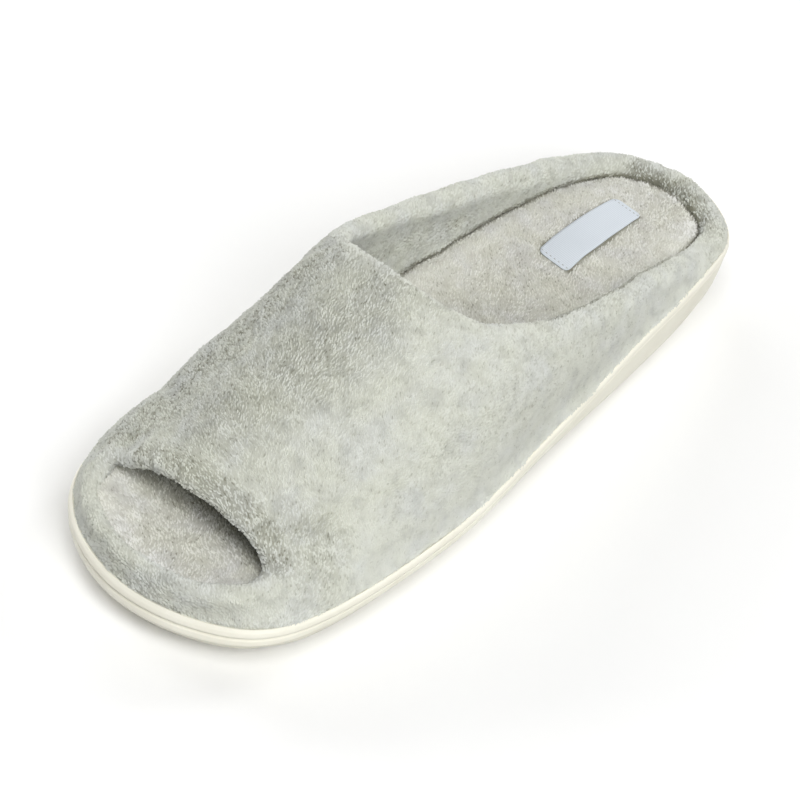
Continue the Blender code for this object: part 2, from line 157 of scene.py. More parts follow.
# Loops on edges that bulge, with the bend in 1/m where an effect starts and is full
EDGE_LIFT = 1.1
EDGE_BEND = (60.0, 240.0)
ROUND_BEND = (270.0, 900.0)
ROUND_SINK = 0.0003
ROUND_SHORTENING = 0.35

# Tones of the loops, from 0 for a dark gap to 1, and the dark loops among them: the dark gaps and dark loops
# are painted shade between the loops, deeper where they stand apart
BRIGHT_TONE = 0.88
OPEN_TONE = 0.46
TONE_SPREAD = (-1.0, 0.4)
BASE_TONE = 0.75
DARK_SHARE = 0.42
DARK_HEIGHT = 0.7
DARK_TONE = 0.62
DARK_TONE_CLOSED = 0.28

# Where the loops stand and how they lie
NAP_JITTER = 0.02
NAP_SPREAD_DEGREES = 13.0
NAP_SWIRL_DEGREES = 12.0
NAP_SWIRL_SIZE = 0.010
OUTER_SPACING = 0.00058
INNER_SPACING = 0.00070
INSOLE_SPACING = 0.00066
SCATTER_DENSITY = 3.0
HIDDEN_SHARE = 0.25
VAMP_BACK_Y = -0.020
HIDDEN_FROM_Y = -0.086
HIDDEN_TO_Y = -0.034
FOOT_TOP_Z = 0.022
SHOE_AXIS_Z = 0.022

# Seeds of the random draws
UPPER_WAVE_SEED = 5
INSOLE_WAVE_SEED = 6
UPPER_SPOTS_SEED = 11
LINING_SPOTS_SEED = 12
INSOLE_SPOTS_SEED = 13
VAMP_INNER_SEED = 21
COLLAR_SEED = 22
LINING_SEED = 23
INSOLE_SEED = 24
VAMP_OUTER_SEED = 25
HIDDEN_SEED = 26

# Sole
SOLE_WELD = 1e-6
SOLE_JOIN_ANGLE = math.radians(20)
SOLE_JOIN_SKEW = math.radians(60)
SOLE_LEVELS = 2
SOLE_CREASE_ANGLE = math.radians(28)
SOLE_CREASE = 0.55
# From SOLE_LEVEL to SOLE_BEND_ROUNDS: painted light on the sole, lighter where it faces up and on its
# bulges, darker where it faces down and in its hollows
SOLE_LEVEL = 0.55
SOLE_UPWARD = 0.45
SOLE_UPWARD_FACING = (-0.1, 0.5)
SOLE_DOWNWARD = 0.22
SOLE_DOWNWARD_FACING = (0.1, 0.6)
SOLE_BEND = 1000.0
SOLE_BEND_ROUNDS = 1
TREAD_FACING = (0.97, 0.999)
TREAD_PITCH = 0.0055
TREAD_DEPTH = 0.0008
TREAD_STRENGTH = 1.0

# Label and its stitches
LABEL_LENGTH = 0.041
LABEL_HEEL_WIDTH = 0.0113
LABEL_TOE_WIDTH = 0.0125
LABEL_FULLNESS = 0.0008
LABEL_THICKNESS = 0.00025
LABEL_CENTRE = (-0.0051, 0.0814)
LABEL_TURN_DEGREES = 2.0
LABEL_BOW = -0.0011
LABEL_LIFT = 0.0006
LABEL_CLEAR = 0.0005
LABEL_STEPS = (48, 14)
LABEL_CORNER = 0.0022
LABEL_DROP_FROM_Z = 1.0
STITCHES = 7
STITCH_INSET = 0.0014
STITCH_LENGTH = 0.0012
STITCH_WIDTH = 0.00035
STITCH_HEIGHT = 0.00022
STITCH_AIM = 0.05

# Colours: shades are sRGB from 0 to 255, tints are factors, stops are places on a ramp from 0 to 1
WHITE = (1.0, 1.0, 1.0)
BLACK = (0.0, 0.0, 0.0)
UPPER_SHADES = ((197, 199, 191), (210, 212, 203), (217, 219, 211))
INSOLE_SHADES = ((214, 213, 205), (224, 224, 216), (229, 229, 223))
WARM_TINT = (1.0, 1.0, 0.98)
UPPER_COOL_TINT = (0.985, 0.987, 1.02)
INSOLE_COOL_TINT = (0.985, 0.985, 1.02)
BLOTCH_STOPS = (0.28, 0.46, 0.75)
DRIFT_STOPS = (0.35, 0.5, 0.65)
# Loop tints: low tones become painted shade, warm and dark, in gaps, seams and lines
LOOP_STOPS = (0.0, 0.5, 0.85, 1.0)
LOOP_TINTS = ((0.36, 0.35, 0.30), (0.78, 0.775, 0.75), WHITE, (1.03, 1.03, 1.03))
RUBBER_SHADES = ((233, 230, 216), (240, 238, 226))
MOTTLE_STOPS = (0.30, 0.70)
# Sole tints: painted shade at the low end, painted highlight at the high end
PAINTED_SOLE_SHADING_STOPS = (0.0, 0.5, 1.0)
PAINTED_SOLE_SHADING_TINTS = ((0.36, 0.34, 0.28), (0.88, 0.88, 0.86), (1.05, 1.05, 1.04))
TREAD_STOPS = (0.25, 0.45)
SATIN_SHADES = ((205, 212, 219), (219, 226, 233))
SATIN_STOPS = (0.0, 1.0)
THREAD_SHADES = ((150, 152, 148), (186, 188, 186))
THREAD_STOPS = (0.3, 0.7)

# Finishes and fine textures
TERRY_FINISH = {"Roughness": 0.95, "Specular IOR Level": 0.12, "Sheen Weight": 0.25, "Sheen Roughness": 0.45}
RUBBER_FINISH = {"Roughness": 0.5, "Specular IOR Level": 0.35}
SATIN_FINISH = {"Roughness": 0.45, "Sheen Weight": 0.2}
THREAD_FINISH = {"Roughness": 0.7}
BLOTCH_SCALE = 210.0
DRIFT_SCALE = 85.0
YARN_DETAIL = 3.0
MOTTLE_SCALE = 60.0
MOTTLE_DETAIL = 4.0
GRAIN_SCALE = 2600.0
GRAIN_DETAIL = 2.0
GRAIN_STRENGTH = 0.12
GRAIN_DEPTH = 0.0002
WEFT_SCALE = 420.0
WEFT_DISTORTION = 0.6
WEFT_STRENGTH = 0.25
WEFT_DEPTH = 0.0001
TWIST_SCALE = 4000.0
TWIST_DETAIL = 1.0
# At scale 1 the bands of a wave texture are 2 pi over this number apart
WAVE_BANDS = 20.0

# Soft folds of the padded terry, in millimetres: troughs have a negative depth
Fold = namedtuple("Fold", "place width depth line")
FOLDS = (
    Fold("hem behind the toe edge", 2.4, -0.5,
         ((-26, -97, 35), (-17, -96, 41), (-5, -95, 45), (8, -93, 44), (19, -91, 41), (28, -91, 36))),
    Fold("roll of the toe edge", 3.2, 0.6,
         ((-24, -101, 36), (-14, -101, 41), (-4, -100, 43), (8, -98, 43), (19, -96, 40), (27, -96, 36))),
    Fold("tuck at the inner toe corner", 2.6, -0.5, ((-25, -103, 35), (-31, -101, 31), (-37, -101, 26))),
    Fold("tuck at the outer toe corner", 3.4, -1.2, ((32, -99, 33), (36, -98, 29), (41, -99, 24))),
    Fold("fullness over the inner ball", 12.0, 2.0, ((-43, -86, 25), (-42, -72, 31), (-40, -60, 38))),
    Fold("pull below the inner throat corner", 6.0, -1.0, ((-29, -20, 65), (-38, -34, 50), (-43, -45, 36))),
    Fold("pull below the outer throat corner", 6.5, -0.7, ((27, -16, 68), (37, -30, 52), (44, -42, 36))),
    Fold("dent across the vamp", 11.0, -0.6, ((-30, -62, 52), (-5, -58, 61), (18, -50, 59))),
)

# Tugs that draw the cloth to one side, in millimetres
Tug = namedtuple("Tug", "place spot reach move")
TUGS = (
    Tug("lip at the inner end of the toe opening", (-31, -108, 25), 6.5, (1.0, 0.6, 4.5)),
    Tug("hem at the inner end of the toe opening", (-28, -104, 33), 5.5, (1.0, -0.6, -1.8)),
    Tug("roll of the heel", (8, 130, 38), 30.0, (-0.1, -1.2, -0.2)),
)

# Zones where the loops stand apart and show dark gaps, in millimetres: elsewhere the pile is closed. The
# darkness of the gaps and of the dark loops is painted shade between the loops
CLOSED = 0.34
Zone = namedtuple("Zone", "place reach strength line")
ZONES = (
    Zone("hem of the toe edge", 13.0, 0.85,
         ((-21, -104, 38), (-15, -103, 41), (-6, -102, 43), (6, -101, 43), (17, -99, 41), (26, -98, 37),
          (31, -100, 33))),
    Zone("inner side of the vamp", 38.0, 0.78,
         ((-38, -95, 33), (-36, -75, 44), (-32, -50, 57), (-26, -30, 66))),
    Zone("middle of the vamp", 40.0, 0.64, ((-8, -88, 52), (-4, -62, 62), (2, -18, 74))),
    # Low on the heel wall the darker pile is painted shade
    Zone("heel wall", 10.0, 1.0, ((-16, 119, 27), (2, 124, 25), (17, 117, 26), (28, 104, 28))),
    Zone("crest of the outer collar", 9.0, 0.42,
         ((34, 2, 64), (34, 17, 58), (33, 33, 53), (32, 50, 48), (30, 66, 43), (28, 82, 38), (26, 98, 33))),
    # Under the vamp the darker pile is painted shade of the toe cavity
    Zone("insole under the vamp", 34.0, 1.0, ((-26, -90, 24), (0, -88, 23), (26, -86, 23))),
    Zone("inner face of the inner collar", 14.0, 0.52, ((-31, -8, 46), (-32, 20, 40), (-31, 48, 34))),
    Zone("insole", 56.0, 0.58, ((0, -112, 22), (-2, 0, 25), (-2, 112, 27))),
)

# Zones where the pile is smoother and its painted gap shade fainter than elsewhere, in millimetres
SMOOTH_ZONES = (
    Zone("foot of the outer side", 26.0, 0.7,
         ((48, -70, 20), (47, -30, 22), (44, 20, 25), (40, 70, 27), (32, 105, 27))),
)

# Foot of the lip in millimetres, where the loops' shading is turned up
LIP_FOOT = (
    (-45, -94, 15), (-40, -106, 15), (-31, -119, 15), (-19, -127, 15), (-7, -130, 16), (8, -130, 16),
)
LIP_FOOT_REACH = 16.0
LIP_FOOT_FULL = 0.3
LIP_FOOT_LIFT = 1.3

# Lines of painted shade in the pile along the collars' crests, thin and fading at their ends, in millimetres
LINE_FADE = 18.0
LINE_CORE = 0.4
Line = namedtuple("Line", "place width tone line")
LINES = (
    Line("lining's edge on the outer collar", 1.5, 0.85,
         ((29.8, 2, 63.3), (30.5, 17, 56.9), (29.6, 33, 51.4), (28.3, 50, 46.7), (25.8, 66, 42.1),
          (24.2, 82, 37), (22.5, 98, 31.6))),
    Line("lining's edge on the inner collar", 1.0, 0.35,
         ((-33, 0, 57), (-33, 21, 53), (-31, 38, 49), (-30, 66, 42), (-29, 90, 35))),
)

# Direction that the loops lie in, at places in millimetres: between these it changes evenly
Nap = namedtuple("Nap", "place spot direction")
NAPS = (
    Nap("toe hem", (0, -100, 42), (-0.97, 0.10, 0.20)),
    Nap("inner vamp", (-38, -72, 42), (-0.84, 0.06, 0.54)),
    Nap("lip", (-24, -122, 24), (-0.84, 0.06, 0.54)),
    Nap("middle of the vamp", (6, -60, 62), (-0.28, 0.95, 0.39)),
    Nap("throat", (0, -24, 72), (-0.40, 0.70, 0.40)),
    Nap("outer side", (46, -50, 30), (-0.28, 0.67, 0.69)),
    Nap("outer heel", (40, 60, 28), (-0.28, 0.67, 0.69)),
    Nap("insole at the heel", (0, 80, 26), (-0.69, 0.72, 0.10)),
    Nap("insole at the toe", (0, -108, 21), (-0.69, 0.72, 0.10)),
)


def linear(red, green, blue):
    """Scene colour of an sRGB colour given in 0 to 255, by the sRGB curve."""
    values = [channel / 255 for channel in (red, green, blue)]
    return tuple(v / 12.92 if v <= 0.04045 else ((v + 0.055) / 1.055) ** 2.4 for v in values)


def unit(vectors):
    """The vectors with length 1."""
    length = np.linalg.norm(vectors, axis=-1, keepdims=True)
    return vectors / np.maximum(length, TINY)


def eased(value, start, end):
    """Smooth step from 0 at start to 1 at end."""
    share = np.clip((value - start) / (end - start), 0.0, 1.0)
    return share * share * (3 - 2 * share)


def mixed(first, second, share):
    """Value between two others: the first at share 0, the second at share 1."""
    return first + (second - first) * share


def arched(u):
    """1 in the middle and 0 at both ends, for a place u from -0.5 to 0.5."""
    return 1 - 4 * u * u


def swirl(points, size, seed):
    """Smooth random value from about -1 to 1 that changes over about one size."""
    rng = np.random.default_rng(seed)
    total = np.zeros(len(points))
    for _ in range(SWIRL_WAVES):
        direction = unit(rng.normal(size=3))
        rate = rng.uniform(*SWIRL_RATE)
        phase = rng.uniform(0, SWIRL_PHASE)
        total += np.sin(points @ direction * (2 * math.pi / size) * rate + phase)
    return total / math.sqrt(SWIRL_WAVES / 2)


def distance_to_line(points, line):
    """Distance of each point to a line through several places, which are in millimetres."""
    places = np.array(line) * MM
    nearest = np.full(len(points), np.inf)
    for start, end in zip(places[:-1], places[1:]):
        step = end - start
        share = np.clip((points - start) @ step / (step @ step), 0.0, 1.0)
        nearest = np.minimum(nearest, np.linalg.norm(points - start - share[:, None] * step, axis=1))
    return nearest


# Meshes


def linked(name, data):
    """A new object in the scene that shows a mesh, lamp or camera."""
    made = bpy.data.objects.new(name, data)
    bpy.context.scene.collection.objects.link(made)
    return made


def rows_of(mesh_items, what, width=3):
    """One property of all items, as rows."""
    flat = np.empty(len(mesh_items) * width)
    mesh_items.foreach_get(what, flat)
    return flat.reshape(-1, width)


def points_of(mesh):
    return rows_of(mesh.vertices, "co")


def normals_of(mesh):
    return rows_of(mesh.vertices, "normal")


def edges_of(mesh):
    """Point numbers of the first and of the second ends of all edges."""
    flat = np.empty(len(mesh.edges) * 2, dtype=np.int64)
    mesh.edges.foreach_get("vertices", flat)
    return flat.reshape(-1, 2).T


def move_points(mesh, points):
    mesh.vertices.foreach_set("co", points.ravel())
    mesh.update()


def keep_values(mesh, name, values):
    """Stores one number for each point under a name."""
    mesh.attributes.new(name, "FLOAT", "POINT").data.foreach_set("value", values)


def mesh_from_arrays(name, points, triangles):
    """A smooth mesh from rows of points and rows of three point numbers."""
    mesh = bpy.data.meshes.new(name)
    mesh.vertices.add(len(points))
    mesh.vertices.foreach_set("co", points.ravel())
    mesh.loops.add(triangles.size)
    mesh.loops.foreach_set("vertex_index", triangles.ravel())
    mesh.polygons.add(len(triangles))
    mesh.polygons.foreach_set("loop_start", np.arange(0, triangles.size, 3))
    mesh.update(calc_edges=True)
    mesh.shade_smooth()
    return mesh


def applied(piece):
    """Replaces a piece's mesh by the one that its modifiers make, and removes them."""
    graph = bpy.context.evaluated_depsgraph_get()
    mesh = bpy.data.meshes.new_from_object(piece.evaluated_get(graph))
    piece.modifiers.clear()
    old = piece.data
    piece.data = mesh
    bpy.data.meshes.remove(old)
    mesh.name = piece.name
    mesh.shade_smooth()
    return piece


def node_copy(node, name):
    """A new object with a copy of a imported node's mesh, in place."""
    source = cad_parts[node]
    mesh = source.data.copy()
    mesh.transform(source.matrix_world)
    mesh.materials.clear()
    return linked(name, mesh)


def bend_of(mesh):
    """Sum of the two curvatures of the surface at each point, positive where it bulges, in 1/m."""
    points = points_of(mesh)
    first, second = edges_of(mesh)
    total = np.zeros_like(points)
    count = np.zeros(len(points))
    spread = np.zeros(len(points))
    step = points[second] - points[first]
    square = np.sum(step * step, axis=1)
    for near, sign in ((first, 1), (second, -1)):
        for axis in range(3):
            total[:, axis] += np.bincount(near, weights=sign * step[:, axis], minlength=len(points))
        count += np.bincount(near, minlength=len(points))
        spread += np.bincount(near, weights=square, minlength=len(points))
    count = np.maximum(count, 1)
    mean = total / count[:, None]
    return -4 * np.sum(mean * normals_of(mesh), axis=1) / np.maximum(spread / count, TINY)


def evened(mesh, values, rounds):
    """Values averaged with their neighbours a number of times."""
    first, second = edges_of(mesh)
    ends = np.r_[first, second]
    count = np.bincount(ends, minlength=len(values)) + 1
    for _ in range(rounds):
        across = np.r_[values[second], values[first]]
        around = np.bincount(ends, weights=across, minlength=len(values))
        values = (around + values) / count
    return values


def surface(piece):
    """Search tree of a piece's surface."""
    return BVHTree.FromObject(piece, bpy.context.evaluated_depsgraph_get())


def gaps_to(tree, points, mask):
    """Distance of the masked points to a surface. The others count as far away."""
    gaps = np.full(len(points), np.inf)
    for number in np.flatnonzero(mask):
        gaps[number] = tree.find_nearest(Vector(points[number]))[3]
    return gaps


# Camera, light and floor


def view_axes():
    """Across, up and back directions of the camera."""
    azimuth = math.radians(CAMERA_AZIMUTH)
    elevation = math.radians(CAMERA_ELEVATION)
    roll = math.radians(CAMERA_ROLL)
    level = math.cos(elevation)
    back = Vector((math.sin(azimuth) * level, -math.cos(azimuth) * level, math.sin(elevation)))
    right = Vector((math.cos(azimuth), math.sin(azimuth), 0.0))
    up = back.cross(right)
    across = math.cos(roll) * right + math.sin(roll) * up
    above = math.cos(roll) * up - math.sin(roll) * right
    return across, above, back


def add_camera():
    data = bpy.data.cameras.new("camera")
    data.sensor_width = CAMERA_SENSOR
    data.lens = CAMERA_LENS
    camera = linked("camera", data)
    across, above, back = view_axes()
    turn = Matrix((across, above, back)).transposed().to_4x4()
    place = Vector(CAMERA_TARGET) + back * CAMERA_DISTANCE
    camera.matrix_world = Matrix.Translation(place) @ turn
    bpy.context.scene.camera = camera


def add_area_light(lamp):
    """A round lamp that looks at the shoe."""
    data = bpy.data.lights.new(lamp.name, "AREA")
    data.shape = "DISK"
    data.size = LAMP_SIZE
    data.energy = lamp.power
    light = linked(lamp.name, data)
    light.location = lamp.place
    light.rotation_euler = Vector(lamp.place).to_track_quat("Z", "Y").to_euler()


def add_world():
    """A faint even light all round, and a pale backdrop beyond the floor."""
    world = bpy.data.worlds.new("studio")
    world.use_nodes = True
    tree = world.node_tree
    light = tree.nodes["Background"]
    backdrop = tree.nodes.new("ShaderNodeBackground")
    for background, strength in ((light, WORLD_STRENGTH), (backdrop, BACKDROP_STRENGTH)):
        background.inputs["Color"].default_value = (*WHITE, 1.0)
        background.inputs["Strength"].default_value = strength
    path = tree.nodes.new("ShaderNodeLightPath")
    mix = tree.nodes.new("ShaderNodeMixShader")
    share, first, second = mix.inputs
    tree.links.new(path.outputs["Is Camera Ray"], share)
    tree.links.new(light.outputs["Background"], first)
    tree.links.new(backdrop.outputs["Background"], second)
    tree.links.new(mix.outputs["Shader"], tree.nodes["World Output"].inputs["Surface"])
    bpy.context.scene.world = world


def add_floor():
    mesh = bpy.data.meshes.new("floor")
    shape = bmesh.new()
    bmesh.ops.create_circle(shape, cap_ends=True, segments=FLOOR_SEGMENTS, radius=FLOOR_RADIUS)
    shape.to_mesh(mesh)
    shape.free()
    floor = linked("floor", mesh)
    floor.location.z = -FLOOR_DROP
    made, shader = new_material("floor", FLOOR_FINISH)
    shader.inputs["Base Color"].default_value = (*FLOOR_COLOUR, 1.0)
    mesh.materials.append(made)


# Materials


def new_material(name, finish):
    """A material and its shader, with the finish's values set."""
    made = bpy.data.materials.new(name)
    made.use_nodes = True
    shader = made.node_tree.nodes["Principled BSDF"]
    for socket, value in finish.items():
        shader.inputs[socket].default_value = value
    return made, shader


def object_place(tree):
    return tree.nodes.new("ShaderNodeTexCoord").outputs["Object"]


def noise(tree, scale, detail, source):
    """Value of a noise texture."""
    node = tree.nodes.new("ShaderNodeTexNoise")
    node.inputs["Scale"].default_value = scale
    node.inputs["Detail"].default_value = detail
    tree.links.new(source, node.inputs["Vector"])
    return node.outputs["Fac"]


def wave(tree, scale, distortion, source):
    """Value of a wave texture whose bands follow along Y."""
    node = tree.nodes.new("ShaderNodeTexWave")
    node.bands_direction = "Y"
    node.inputs["Scale"].default_value = scale
    node.inputs["Distortion"].default_value = distortion
    tree.links.new(source, node.inputs["Vector"])
    return node.outputs["Fac"]


def ramp(tree, value, stops, colours):
    """Colour ramp through colours at the given stops."""
    node = tree.nodes.new("ShaderNodeValToRGB")
    elements = node.color_ramp.elements
    while len(elements) > 1:
        elements.remove(elements[-1])
    elements[0].position = stops[0]
    for stop in stops[1:]:
        elements.new(stop)
    for element, colour in zip(elements, colours):
        element.color = (*colour, 1.0)
    tree.links.new(value, node.inputs["Fac"])
    return node.outputs["Color"]


def shaded(tree, value, stops, shades):
    """Colour ramp through sRGB shades at the given stops."""
    return ramp(tree, value, stops, [linear(*shade) for shade in shades])


def multiplied(tree, first, second):
    """Product of two colours."""
    node = tree.nodes.new("ShaderNodeMix")
    node.data_type = "RGBA"
    node.blend_type = "MULTIPLY"
    node.inputs["Factor"].default_value = 1.0
    factors = [socket for socket in node.inputs if socket.type == "RGBA"]
    tree.links.new(first, factors[0])
    tree.links.new(second, factors[1])
    return next(socket for socket in node.outputs if socket.type == "RGBA")


def kept_value(tree, name):
    """A number that the mesh stores for each point."""
    node = tree.nodes.new("ShaderNodeAttribute")
    node.attribute_name = name
    return node.outputs["Fac"]


def bumped(tree, height, strength, distance, normal=None):
    """Normal with a small relief, which may lie over another one."""
    node = tree.nodes.new("ShaderNodeBump")
    node.inputs["Strength"].default_value = strength
    node.inputs["Distance"].default_value = distance
    tree.links.new(height, node.inputs["Height"])
    if normal:
        tree.links.new(normal, node.inputs["Normal"])
    return node.outputs["Normal"]


def terry_material(name, shades, cool_tint):
    """Heathered terry: blotches of mixed yarns, warm and cool drifts, and each loop's tone, which is random
    in part and painted shade in gaps, seams and lines in part.
    """
    made, shader = new_material(name, TERRY_FINISH)
    tree = made.node_tree
    place = object_place(tree)
    colour = shaded(tree, noise(tree, BLOTCH_SCALE, YARN_DETAIL, place), BLOTCH_STOPS, shades)
    drifts = noise(tree, DRIFT_SCALE, YARN_DETAIL, place)
    colour = multiplied(tree, colour, ramp(tree, drifts, DRIFT_STOPS, (cool_tint, WHITE, WARM_TINT)))
    colour = multiplied(tree, colour, ramp(tree, kept_value(tree, "tone"), LOOP_STOPS, LOOP_TINTS))
    tree.links.new(colour, shader.inputs["Base Color"])
    return made


def rubber_material():
    """Cream moulded sole: soft mottling, fine grain, a dull gloss, painted shade in its hollows and on faces
    turned down, a painted highlight on bulges and faces turned up, and a tread.
    """
    made, shader = new_material("sole_rubber", RUBBER_FINISH)
    tree = made.node_tree
    place = object_place(tree)
    colour = shaded(tree, noise(tree, MOTTLE_SCALE, MOTTLE_DETAIL, place), MOTTLE_STOPS, RUBBER_SHADES)
    groove = ramp(tree, kept_value(tree, "groove"), PAINTED_SOLE_SHADING_STOPS, PAINTED_SOLE_SHADING_TINTS)
    tree.links.new(multiplied(tree, colour, groove), shader.inputs["Base Color"])
    grain = bumped(tree, noise(tree, GRAIN_SCALE, GRAIN_DETAIL, place), GRAIN_STRENGTH, GRAIN_DEPTH)
    tread = bumped(tree, tread_height(tree, place), TREAD_STRENGTH, TREAD_DEPTH, grain)
    tree.links.new(tread, shader.inputs["Normal"])
    return made


def tread_height(tree, place):
    """Height of the shallow cross ribs on the underside."""
    bands = wave(tree, 2 * math.pi / (WAVE_BANDS * TREAD_PITCH), 0.0, place)
    ribs = ramp(tree, bands, TREAD_STOPS, (BLACK, WHITE))
    return multiplied(tree, ribs, kept_value(tree, "tread"))


def satin_material():
    """White woven label with a fine weft rib."""
    made, shader = new_material("label_satin", SATIN_FINISH)
    tree = made.node_tree
    rib = wave(tree, WEFT_SCALE, WEFT_DISTORTION, object_place(tree))
    tree.links.new(shaded(tree, rib, SATIN_STOPS, SATIN_SHADES), shader.inputs["Base Color"])
    tree.links.new(bumped(tree, rib, WEFT_STRENGTH, WEFT_DEPTH), shader.inputs["Normal"])
    return made


def thread_material():
    """Grey sewing thread with a fine twist."""
    made, shader = new_material("stitch_thread", THREAD_FINISH)
    tree = made.node_tree
    twist = noise(tree, TWIST_SCALE, TWIST_DETAIL, object_place(tree))
    tree.links.new(shaded(tree, twist, THREAD_STOPS, THREAD_SHADES), shader.inputs["Base Color"])
    return made


# Terry pile


def scatter_group(spacing, seed):
    """Nodes that spread points over a surface, no two closer than spacing, with the surface's normal."""
    group = bpy.data.node_groups.new("scatter", "GeometryNodeTree")
    group.interface.new_socket("Geometry", in_out="INPUT", socket_type="NodeSocketGeometry")
    group.interface.new_socket("Geometry", in_out="OUTPUT", socket_type="NodeSocketGeometry")
    start = group.nodes.new("NodeGroupInput")
    spread = group.nodes.new("GeometryNodeDistributePointsOnFaces")
    spread.distribute_method = "POISSON"
    spread.inputs["Distance Min"].default_value = spacing
    spread.inputs["Density Max"].default_value = SCATTER_DENSITY / spacing**2
    spread.inputs["Seed"].default_value = seed
    keep = group.nodes.new("GeometryNodeStoreNamedAttribute")
    keep.data_type = "FLOAT_VECTOR"
    keep.domain = "POINT"
    keep.inputs["Name"].default_value = "facing"
    turn = group.nodes.new("GeometryNodePointsToVertices")
    end = group.nodes.new("NodeGroupOutput")
    group.links.new(start.outputs["Geometry"], spread.inputs["Mesh"])
    group.links.new(spread.outputs["Points"], keep.inputs["Geometry"])
    group.links.new(spread.outputs["Normal"], keep.inputs["Value"])
    group.links.new(keep.outputs["Geometry"], turn.inputs["Points"])
    group.links.new(turn.outputs["Mesh"], end.inputs["Geometry"])
    return group


Spots = namedtuple("Spots", "points facing bend")


def scattered(piece, spacing, seed):
    """Spots spread over a piece: places, surface normals and how strongly the surface bulges."""
    step = piece.modifiers.new("scatter", "NODES")
    step.node_group = scatter_group(spacing, seed)
    graph = bpy.context.evaluated_depsgraph_get()
    shown = piece.evaluated_get(graph)
    mesh = shown.to_mesh()
    points = points_of(mesh)
    facing = rows_of(mesh.attributes["facing"].data, "vector")
    bend = rows_of(mesh.attributes["bend"].data, "value", 1)[:, 0]
    shown.to_mesh_clear()
    piece.modifiers.clear()
    return Spots(points, unit(facing), bend)


def chosen(spots, mask):
    return Spots(spots.points[mask], spots.facing[mask], spots.bend[mask])


# An arch's points: a tip, the left, crest and right of two stations, and the other tip
ARCH_TRIANGLES = np.array([
    (0, 2, 1), (0, 3, 2), (1, 2, 5), (1, 5, 4), (2, 3, 6), (2, 6, 5), (4, 5, 7), (5, 6, 7),
])
ARCH_POINTS = 8
Arch = namedtuple("Arch", "length width height bow sink")


def arch_mesh(name, points, along, facing, sizes, soft):
    """Joined mesh of small arches of thread, one on each point.

    The sizes are an Arch of numbers or of one value a point. The vectors in soft turn the shading.
    """
    length, width, height, bow, sink = (np.reshape(size, (-1, 1)) for size in sizes)
    side = np.cross(facing, along)
    drop = facing * sink
    corners = [points - along * length / 2 - drop]
    directions = [-along]
    for station in ARCH_STATIONS:
        middle = points + along * length * station + side * bow * arched(station)
        left = middle + side * width / 2 - drop
        right = middle - side * width / 2 - drop
        corners += [left, middle + facing * height, right]
        directions += [side, facing, -side]
    corners.append(points + along * length / 2 - drop)
    directions.append(along)
    directions = [unit(direction + soft) for direction in directions]
    triangles = (np.arange(len(points))[:, None, None] * ARCH_POINTS + ARCH_TRIANGLES).reshape(-1, 3)
    mesh = mesh_from_arrays(name, np.stack(corners, axis=1).reshape(-1, 3), triangles)
    mesh.normals_split_custom_set_from_vertices(np.stack(directions, axis=1).reshape(-1, 3))
    return mesh


def nap_directions(spots, rng, seed):
    """Direction that each loop lies in, along the surface."""
    facing = spots.facing
    along = rng.normal(scale=NAP_JITTER, size=facing.shape)
    total = np.zeros(len(facing))
    for nap in NAPS:
        weight = 1 / np.sum((spots.points - np.array(nap.spot) * MM) ** 2, axis=1)
        along += weight[:, None] * np.array(nap.direction)
        total += weight
    along = along / total[:, None]
    along = unit(along - facing * np.sum(along * facing, axis=1)[:, None])
    side = np.cross(facing, along)
    turn = rng.normal(scale=NAP_SPREAD_DEGREES, size=len(facing))
    turn = np.radians(turn + NAP_SWIRL_DEGREES * swirl(spots.points, NAP_SWIRL_SIZE, seed))[:, None]
    return along * np.cos(turn) + side * np.sin(turn)


def nearness(points, zone):
    """1 on a zone's line, falling to 0 at its reach."""
    away = distance_to_line(points, zone.line) / MM
    return 1 - eased(away, 0.0, zone.reach)


def openness(points):
    """How far the loops stand apart at each point, from 0 to 1."""
    parted = np.full(len(points), CLOSED)
    for zone in ZONES:
        parted = np.maximum(parted, zone.strength * nearness(points, zone))
    for zone in SMOOTH_ZONES:
        parted *= 1 - zone.strength * nearness(points, zone)
    return parted


def loop_spans(rng, parted, round_edge):
    """Length, width and bow of each loop."""
    count = len(parted)
    length = rng.uniform(*LOOP_LENGTH, size=count) * mixed(CLOSED_LENGTH, OPEN_LENGTH, parted)
    length = length * (1 - ROUND_SHORTENING * round_edge)
    width = rng.uniform(*LOOP_WIDTH, size=count) * mixed(CLOSED_WIDTH, OPEN_WIDTH, parted)
    bow = rng.normal(scale=LOOP_BOW, size=count) * length
    return length, width, bow


def loop_heights(rng, parted, clump, dark):
    height = rng.uniform(*LOOP_HEIGHT, size=len(parted)) * (1 + CLUMP_HEIGHT * clump)
    return height * mixed(CLOSED_HEIGHT, OPEN_HEIGHT, parted) * np.where(dark, DARK_HEIGHT, 1.0)


# Loop tones are random in part; the dark loops and the darker tones where the loops stand apart are painted
# shade
def loop_tones(rng, parted, clump, dark):
    tone = BRIGHT_TONE + OPEN_TONE * parted * rng.uniform(*TONE_SPREAD, size=len(parted))
    darker = DARK_TONE * mixed(DARK_TONE_CLOSED, 1.0, parted)
    return tone + CLUMP_TONE * clump * (CLUMP_TONE_CLOSED + parted) - np.where(dark, darker, 0.0)


def loop_softness(spots, parted):
    """Vectors that turn the loops' shading to the surface, and up on edges and at the lip's foot."""
    soft = mixed(CLOSED_SOFTNESS, OPEN_SOFTNESS, parted)[:, None] * spots.facing
    foot = distance_to_line(spots.points, LIP_FOOT) / (LIP_FOOT_REACH * MM)
    soft[:, 2] += EDGE_LIFT * eased(spots.bend, *EDGE_BEND)
    soft[:, 2] += LIP_FOOT_LIFT * (1 - eased(foot, LIP_FOOT_FULL, 1.0))
    return soft


